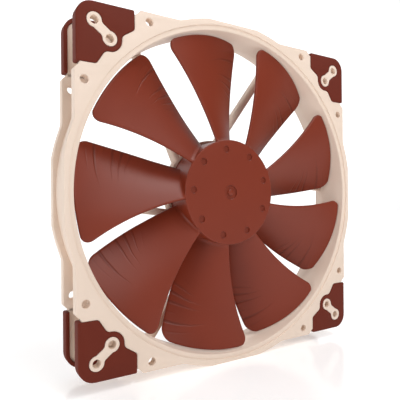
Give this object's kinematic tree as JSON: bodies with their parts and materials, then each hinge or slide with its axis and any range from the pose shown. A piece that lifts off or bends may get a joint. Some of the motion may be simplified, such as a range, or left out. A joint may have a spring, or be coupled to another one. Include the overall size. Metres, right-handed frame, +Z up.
{
  "type": "case fan",
  "caption": "Square-framed axial case fan with a round ring, hub-driven blades that spin inside the duct, leaning rear struts and soft corner pads.",
  "frame": {"origin": "on the rotation axis at mid depth, the centre of the frame", "axes": "+X right and +Z up seen from the intake side, +Y along the rotation axis towards the outlet side; the intake side faces -Y and the fan stands on its lower ring flat"},
  "size_m": [0.2, 0.03, 0.2],
  "materials": {
    "frame_plastic": "smooth matte injection moulded",
    "impeller_plastic": "fine satin injection moulded",
    "pad_silicone": "matte silicone",
    "yoke_steel": "deep drawn, zinc plated",
    "magnet": "bonded ferrite",
    "shaft_steel": "ground and polished",
    "brass": "turned",
    "bush_bronze": "sintered and oil soaked",
    "clip_plastic": "natural nylon",
    "insulator_plastic": "glass filled nylon",
    "lamination_steel": "punched silicon steel",
    "copper_wire": "enamelled copper winding",
    "board": "solder masked glass epoxy",
    "chip_black": "moulded epoxy",
    "capacitor": "ceramic",
    "label_foil": "plain printed film, blank"
  },
  "bodies": {
    "frame_body": {"bearing_bush": "bush_bronze", "bearing_cap": "insulator_plastic", "bearing_tube": "brass", "chip_components": "chip_black", "circuit_board": "board", "coil_1": "copper_wire", "coil_2": "copper_wire", "coil_3": "copper_wire", "coil_4": "copper_wire", "driver_chip": "chip_black", "frame": "frame_plastic", "hall_sensor": "chip_black", "oil_seal_washer": "clip_plastic", "pad_front_bottom_left": "pad_silicone", "pad_front_bottom_right": "pad_silicone", "pad_front_top_left": "pad_silicone", "pad_front_top_right": "pad_silicone", "pad_rear_bottom_left": "pad_silicone", "pad_rear_bottom_right": "pad_silicone", "pad_rear_top_left": "pad_silicone", "pad_rear_top_right": "pad_silicone", "rear_label": "label_foil", "smoothing_capacitor": "capacitor", "stator_core": "lamination_steel", "stator_insulator_front": "insulator_plastic", "stator_insulator_rear": "insulator_plastic", "terminal_pins": "brass", "thrust_disc": "clip_plastic"},
    "rotor": {"impeller": "impeller_plastic", "rotor_yoke": "yoke_steel", "ring_magnet": "magnet", "shaft": "shaft_steel", "shaft_boss": "brass", "retaining_clip": "clip_plastic"}
  },
  "joints": [
    {"name": "rotor_spin", "type": "hinge", "parent": "frame_body", "child": "rotor", "pos_m": [0, 0, 0], "axis": [0, -1, 0], "continuous": true}
  ]
}
